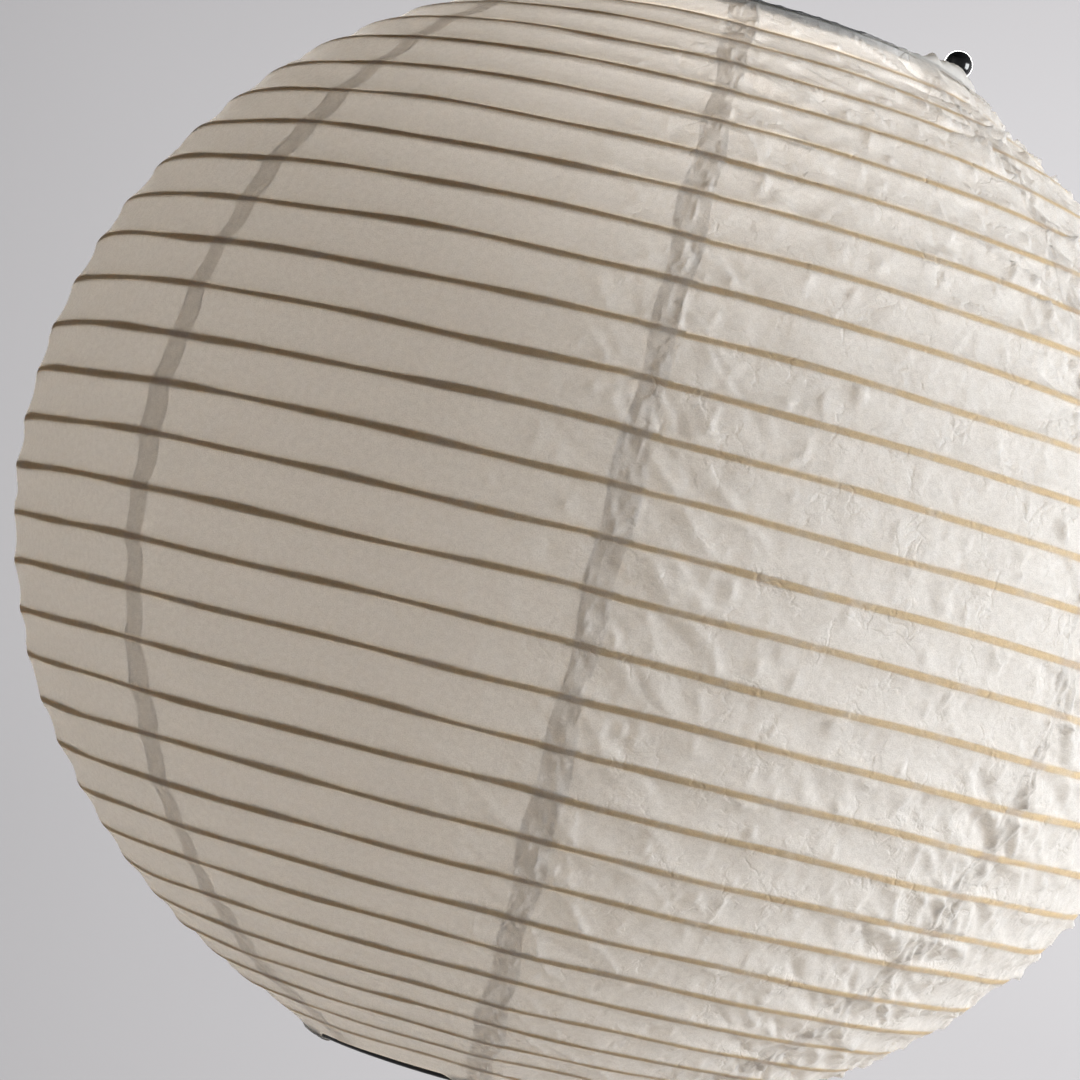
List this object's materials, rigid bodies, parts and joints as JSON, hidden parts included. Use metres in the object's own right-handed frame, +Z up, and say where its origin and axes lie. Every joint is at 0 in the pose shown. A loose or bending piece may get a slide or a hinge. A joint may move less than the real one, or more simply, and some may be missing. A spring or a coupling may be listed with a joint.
{
  "type": "paper lantern",
  "caption": "Round folding paper lantern shade: paper gores over bamboo hoops, wire rings at both ends, and a wire stretcher with a lampholder ring.",
  "frame": {"origin": "centre of the lampholder bore, in the middle of the lampholder ring's thickness, on the lantern's axis", "axes": "+Z up along the lantern's axis and the lampholder bore; the stretcher's two arms lie along +X and -X; one paper seam faces -Y"},
  "size_m": [0.6, 0.6, 0.5585],
  "materials": {
    "shade_paper": "matte, translucent, with long fibres",
    "binding_paper": "matte, crumpled",
    "bamboo": "split and scraped strip, satin",
    "ring_wire": "black lacquer, satin",
    "stretcher_wire": "black lacquer, satin",
    "black_rubber": "gloss dipped vinyl"
  },
  "bodies": {
    "shade_top": {"lampholder_ring": "stretcher_wire", "arm_right": "stretcher_wire", "arm_left": "stretcher_wire", "leg_right": "stretcher_wire", "leg_left": "stretcher_wire", "grip_ball_right": "black_rubber", "grip_ball_left": "black_rubber", "arm_cap_right": "black_rubber", "arm_cap_left": "black_rubber", "foot_cap_right": "black_rubber", "foot_cap_left": "black_rubber", "top_ring": "ring_wire", "top_edge_binding": "binding_paper", "paper_gore_1": "shade_paper", "paper_gore_2": "shade_paper", "paper_gore_3": "shade_paper", "paper_gore_4": "shade_paper", "paper_gore_5": "shade_paper", "paper_gore_6": "shade_paper", "paper_gore_7": "shade_paper", "paper_gore_8": "shade_paper"},
    "bottom_rim": {"bottom_ring": "ring_wire", "bottom_edge_binding": "binding_paper"},
    "hoop_01_body": {"hoop_01": "bamboo"},
    "hoop_02_body": {"hoop_02": "bamboo"},
    "hoop_03_body": {"hoop_03": "bamboo"},
    "hoop_04_body": {"hoop_04": "bamboo"},
    "hoop_05_body": {"hoop_05": "bamboo"},
    "hoop_06_body": {"hoop_06": "bamboo"},
    "hoop_07_body": {"hoop_07": "bamboo"},
    "hoop_08_body": {"hoop_08": "bamboo"},
    "hoop_09_body": {"hoop_09": "bamboo"},
    "hoop_10_body": {"hoop_10": "bamboo"},
    "hoop_11_body": {"hoop_11": "bamboo"},
    "hoop_12_body": {"hoop_12": "bamboo"},
    "hoop_13_body": {"hoop_13": "bamboo"},
    "hoop_14_body": {"hoop_14": "bamboo"},
    "hoop_15_body": {"hoop_15": "bamboo"},
    "hoop_16_body": {"hoop_16": "bamboo"},
    "hoop_17_body": {"hoop_17": "bamboo"},
    "hoop_18_body": {"hoop_18": "bamboo"},
    "hoop_19_body": {"hoop_19": "bamboo"},
    "hoop_20_body": {"hoop_20": "bamboo"},
    "hoop_21_body": {"hoop_21": "bamboo"},
    "hoop_22_body": {"hoop_22": "bamboo"},
    "hoop_23_body": {"hoop_23": "bamboo"},
    "hoop_24_body": {"hoop_24": "bamboo"},
    "hoop_25_body": {"hoop_25": "bamboo"},
    "hoop_26_body": {"hoop_26": "bamboo"},
    "hoop_27_body": {"hoop_27": "bamboo"},
    "hoop_28_body": {"hoop_28": "bamboo"},
    "hoop_29_body": {"hoop_29": "bamboo"}
  },
  "joints": [
    {"name": "fold", "type": "slide", "parent": "shade_top", "child": "bottom_rim", "axis": [0, 0, 1], "range_m": [0, 0.436], "deforming": ["paper_gore_1", "paper_gore_2", "paper_gore_3", "paper_gore_4", "paper_gore_5", "paper_gore_6", "paper_gore_7", "paper_gore_8"]},
    {"name": "hoop_01_slide", "type": "slide", "parent": "shade_top", "child": "hoop_01_body", "axis": [0, 0, 1], "range_m": [0, 0.01283]},
    {"name": "hoop_02_slide", "type": "slide", "parent": "shade_top", "child": "hoop_02_body", "axis": [0, 0, 1], "range_m": [0, 0.02323]},
    {"name": "hoop_03_slide", "type": "slide", "parent": "shade_top", "child": "hoop_03_body", "axis": [0, 0, 1], "range_m": [0, 0.03508]},
    {"name": "hoop_04_slide", "type": "slide", "parent": "shade_top", "child": "hoop_04_body", "axis": [0, 0, 1], "range_m": [0, 0.0483]},
    {"name": "hoop_05_slide", "type": "slide", "parent": "shade_top", "child": "hoop_05_body", "axis": [0, 0, 1], "range_m": [0, 0.06278]},
    {"name": "hoop_06_slide", "type": "slide", "parent": "shade_top", "child": "hoop_06_body", "axis": [0, 0, 1], "range_m": [0, 0.07798]},
    {"name": "hoop_07_slide", "type": "slide", "parent": "shade_top", "child": "hoop_07_body", "axis": [0, 0, 1], "range_m": [0, 0.09412]},
    {"name": "hoop_08_slide", "type": "slide", "parent": "shade_top", "child": "hoop_08_body", "axis": [0, 0, 1], "range_m": [0, 0.11112]},
    {"name": "hoop_09_slide", "type": "slide", "parent": "shade_top", "child": "hoop_09_body", "axis": [0, 0, 1], "range_m": [0, 0.12885]},
    {"name": "hoop_10_slide", "type": "slide", "parent": "shade_top", "child": "hoop_10_body", "axis": [0, 0, 1], "range_m": [0, 0.1472]},
    {"name": "hoop_11_slide", "type": "slide", "parent": "shade_top", "child": "hoop_11_body", "axis": [0, 0, 1], "range_m": [0, 0.16603]},
    {"name": "hoop_12_slide", "type": "slide", "parent": "shade_top", "child": "hoop_12_body", "axis": [0, 0, 1], "range_m": [0, 0.1852]},
    {"name": "hoop_13_slide", "type": "slide", "parent": "shade_top", "child": "hoop_13_body", "axis": [0, 0, 1], "range_m": [0, 0.20434]},
    {"name": "hoop_14_slide", "type": "slide", "parent": "shade_top", "child": "hoop_14_body", "axis": [0, 0, 1], "range_m": [0, 0.22355]},
    {"name": "hoop_15_slide", "type": "slide", "parent": "shade_top", "child": "hoop_15_body", "axis": [0, 0, 1], "range_m": [0, 0.24269]},
    {"name": "hoop_16_slide", "type": "slide", "parent": "shade_top", "child": "hoop_16_body", "axis": [0, 0, 1], "range_m": [0, 0.26164]},
    {"name": "hoop_17_slide", "type": "slide", "parent": "shade_top", "child": "hoop_17_body", "axis": [0, 0, 1], "range_m": [0, 0.28025]},
    {"name": "hoop_18_slide", "type": "slide", "parent": "shade_top", "child": "hoop_18_body", "axis": [0, 0, 1], "range_m": [0, 0.29841]},
    {"name": "hoop_19_slide", "type": "slide", "parent": "shade_top", "child": "hoop_19_body", "axis": [0, 0, 1], "range_m": [0, 0.31542]},
    {"name": "hoop_20_slide", "type": "slide", "parent": "shade_top", "child": "hoop_20_body", "axis": [0, 0, 1], "range_m": [0, 0.33177]},
    {"name": "hoop_21_slide", "type": "slide", "parent": "shade_top", "child": "hoop_21_body", "axis": [0, 0, 1], "range_m": [0, 0.34735]},
    {"name": "hoop_22_slide", "type": "slide", "parent": "shade_top", "child": "hoop_22_body", "axis": [0, 0, 1], "range_m": [0, 0.36193]},
    {"name": "hoop_23_slide", "type": "slide", "parent": "shade_top", "child": "hoop_23_body", "axis": [0, 0, 1], "range_m": [0, 0.37453]},
    {"name": "hoop_24_slide", "type": "slide", "parent": "shade_top", "child": "hoop_24_body", "axis": [0, 0, 1], "range_m": [0, 0.38626]},
    {"name": "hoop_25_slide", "type": "slide", "parent": "shade_top", "child": "hoop_25_body", "axis": [0, 0, 1], "range_m": [0, 0.39694]},
    {"name": "hoop_26_slide", "type": "slide", "parent": "shade_top", "child": "hoop_26_body", "axis": [0, 0, 1], "range_m": [0, 0.40578]},
    {"name": "hoop_27_slide", "type": "slide", "parent": "shade_top", "child": "hoop_27_body", "axis": [0, 0, 1], "range_m": [0, 0.41378]},
    {"name": "hoop_28_slide", "type": "slide", "parent": "shade_top", "child": "hoop_28_body", "axis": [0, 0, 1], "range_m": [0, 0.421]},
    {"name": "hoop_29_slide", "type": "slide", "parent": "shade_top", "child": "hoop_29_body", "axis": [0, 0, 1], "range_m": [0, 0.42804]}
  ],
  "couplings": [
    {"joint": "hoop_01_slide", "follows": "fold", "ratio": 0.029397},
    {"joint": "hoop_02_slide", "follows": "fold", "ratio": 0.053241},
    {"joint": "hoop_03_slide", "follows": "fold", "ratio": 0.080425},
    {"joint": "hoop_04_slide", "follows": "fold", "ratio": 0.11074},
    {"joint": "hoop_05_slide", "follows": "fold", "ratio": 0.14396},
    {"joint": "hoop_06_slide", "follows": "fold", "ratio": 0.17883},
    {"joint": "hoop_07_slide", "follows": "fold", "ratio": 0.21584},
    {"joint": "hoop_08_slide", "follows": "fold", "ratio": 0.25482},
    {"joint": "hoop_09_slide", "follows": "fold", "ratio": 0.2955},
    {"joint": "hoop_10_slide", "follows": "fold", "ratio": 0.33758},
    {"joint": "hoop_11_slide", "follows": "fold", "ratio": 0.38076},
    {"joint": "hoop_12_slide", "follows": "fold", "ratio": 0.42474},
    {"joint": "hoop_13_slide", "follows": "fold", "ratio": 0.46863},
    {"joint": "hoop_14_slide", "follows": "fold", "ratio": 0.51269},
    {"joint": "hoop_15_slide", "follows": "fold", "ratio": 0.5566},
    {"joint": "hoop_16_slide", "follows": "fold", "ratio": 0.60005},
    {"joint": "hoop_17_slide", "follows": "fold", "ratio": 0.64275},
    {"joint": "hoop_18_slide", "follows": "fold", "ratio": 0.68438},
    {"joint": "hoop_19_slide", "follows": "fold", "ratio": 0.7234},
    {"joint": "hoop_20_slide", "follows": "fold", "ratio": 0.7609},
    {"joint": "hoop_21_slide", "follows": "fold", "ratio": 0.79663},
    {"joint": "hoop_22_slide", "follows": "fold", "ratio": 0.83009},
    {"joint": "hoop_23_slide", "follows": "fold", "ratio": 0.85899},
    {"joint": "hoop_24_slide", "follows": "fold", "ratio": 0.88588},
    {"joint": "hoop_25_slide", "follows": "fold", "ratio": 0.91038},
    {"joint": "hoop_26_slide", "follows": "fold", "ratio": 0.93066},
    {"joint": "hoop_27_slide", "follows": "fold", "ratio": 0.949},
    {"joint": "hoop_28_slide", "follows": "fold", "ratio": 0.96556},
    {"joint": "hoop_29_slide", "follows": "fold", "ratio": 0.98171}
  ]
}
